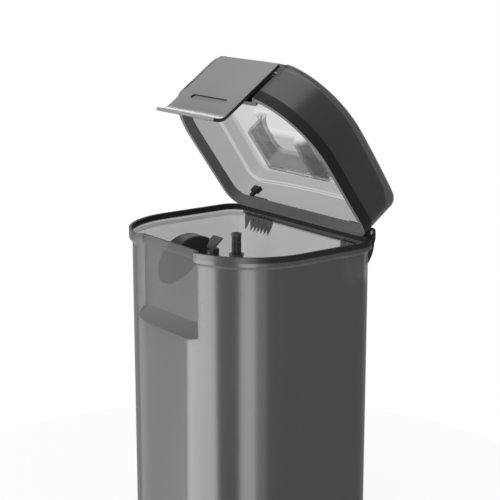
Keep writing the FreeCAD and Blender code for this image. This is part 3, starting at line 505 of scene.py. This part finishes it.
def place_springs():
    """The two torsion springs on the latch pin, each with its leg down the notch, and the outlet's spring,
    which its plunger shortens. All are drawn as the coils they are."""
    steel = metal("spring steel", 0.55, 0.25)
    for side, way in (("left", -1), ("right", 1)):
        first = np.array(opened(LATCH_PIVOT + Vector((way * LATCH_COIL_X, 0, 0))))
        spring = coil("latch_coil_" + side, first, np.array([-way, 0.0, 0.0]), np.array(turned((0, 1, 0))),
                      LATCH_COIL_RADIUS, LATCH_WIRE, LATCH_TURNS, LATCH_COIL_LENGTH,
                      [np.array(turned((0, 0, -LATCH_LEG)))])
        spring.data.materials.append(steel)
        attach(spring, "lid")
        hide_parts("latch_spring_" + side)
    low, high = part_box("outlet_spring")
    middle = np.array([(low[0] + high[0]) / 2, (low[1] + high[1]) / 2, low[2] + OUTLET_WIRE])
    spring = coil("outlet_coil", middle, np.array([0.0, 0.0, 1.0]), np.array([1.0, 0.0, 0.0]),
                  (high[0] - low[0]) / 2 - OUTLET_WIRE, OUTLET_WIRE, OUTLET_TURNS,
                  high[2] - low[2] - 2 * OUTLET_WIRE)
    spring.data.materials.append(steel)
    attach(spring, "tank")
    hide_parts("outlet_spring")
    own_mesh(spring)


# Soft boxes: name, azimuth and elevation in degrees, distance, width and height in metres, radiance.
SOFTBOXES = (
    ("left softbox", -22, -14, 1.0, 0.95, 1.30, 3.0),
    ("front softbox", -66, -6, 1.0, 0.42, 1.60, 0.9),
    ("camera softbox", 49, -12, 1.35, 0.50, 1.50, 2.4),
    ("side fill softbox", 68, -12, 1.35, 0.30, 1.50, 0.6),
    ("top softbox", 10, 75, 1.2, 1.0, 0.8, 2.4),
    ("rear softbox", 238, 32, 1.3, 0.5, 0.30, 5.0),
)
LIGHT_TARGET = Vector((0, 0, 0.14))


def place_lights():
    """Soft boxes round the object, each looking at the target."""
    for name, azimuth, elevation, distance, width, height, radiance in SOFTBOXES:
        away = facing_out(math.radians(azimuth), math.radians(elevation))
        data = bpy.data.lights.new(name, "AREA")
        data.shape = "RECTANGLE"
        data.size = width
        data.size_y = height
        data.energy = radiance * math.pi * width * height
        lamp = bpy.data.objects.new(name, data)
        lamp.location = LIGHT_TARGET + away * distance
        lamp.rotation_euler = away.to_track_quat("Z", "Y").to_euler()
        bpy.context.scene.collection.objects.link(lamp)


FLOOR_R = 0.30
FLOOR_SIDES = 96
FLOOR_COLOUR = (0.85, 0.85, 0.85, 1)
FLOOR_GLOW = 0.92
WHITE = (1, 1, 1, 1)
WORLD_UNSEEN = 0.38
WORLD_SEEN_MORE = 0.62


def place_floor():
    """Round pale floor that keeps the shadow."""
    steps = np.linspace(0, 2 * math.pi, FLOOR_SIDES, endpoint=False)
    ring = np.stack([FLOOR_R * np.cos(steps), FLOOR_R * np.sin(steps), np.zeros_like(steps)], axis=1)
    mesh = bpy.data.meshes.new("floor")
    mesh.from_pydata(ring.tolist(), [], [list(range(len(steps)))])
    floor = bpy.data.objects.new("floor", mesh)
    bpy.context.scene.collection.objects.link(floor)
    n = Nodes("pale floor")
    path = n.add("LightPath")
    diffuse = n.add("BsdfDiffuse", {"Color": FLOOR_COLOUR})
    white = n.add("Emission", {"Color": WHITE, "Strength": 1.0})
    seen = n.either(path.outputs["Is Camera Ray"], path.outputs["Is Transmission Ray"])
    mix = n.add("MixShader", {0: n.both(seen, FLOOR_GLOW), 1: diffuse.outputs[0], 2: white.outputs[0]})
    clear = n.add("BsdfTransparent")
    pale = n.add("MixShader", {0: path.outputs["Is Glossy Ray"], 1: mix.outputs[0], 2: clear.outputs[0]})
    mesh.materials.append(n.finish(pale.outputs[0]))


def place_world():
    """World that is white where the camera sees it, also through the smoked walls, and dimmer as light."""
    world = bpy.data.worlds.new("studio")
    bpy.context.scene.world = world
    world.use_nodes = True
    tree = world.node_tree
    tree.nodes.clear()
    output = tree.nodes.new("ShaderNodeOutputWorld")
    path = tree.nodes.new("ShaderNodeLightPath")
    back = tree.nodes.new("ShaderNodeBackground")
    back.inputs["Color"].default_value = WHITE
    seen = tree.nodes.new("ShaderNodeMath")
    seen.operation = "MAXIMUM"
    tree.links.new(path.outputs["Is Camera Ray"], seen.inputs[0])
    tree.links.new(path.outputs["Is Transmission Ray"], seen.inputs[1])
    strength = tree.nodes.new("ShaderNodeMath")
    strength.operation = "MULTIPLY_ADD"
    strength.inputs[1].default_value = WORLD_SEEN_MORE
    strength.inputs[2].default_value = WORLD_UNSEEN
    tree.links.new(seen.outputs[0], strength.inputs[0])
    tree.links.new(strength.outputs[0], back.inputs["Strength"])
    tree.links.new(back.outputs[0], output.inputs["Surface"])


place_camera()
dress()
place_springs()
place_lights()
place_floor()
place_world()
bpy.context.scene.view_settings.view_transform = "Standard"
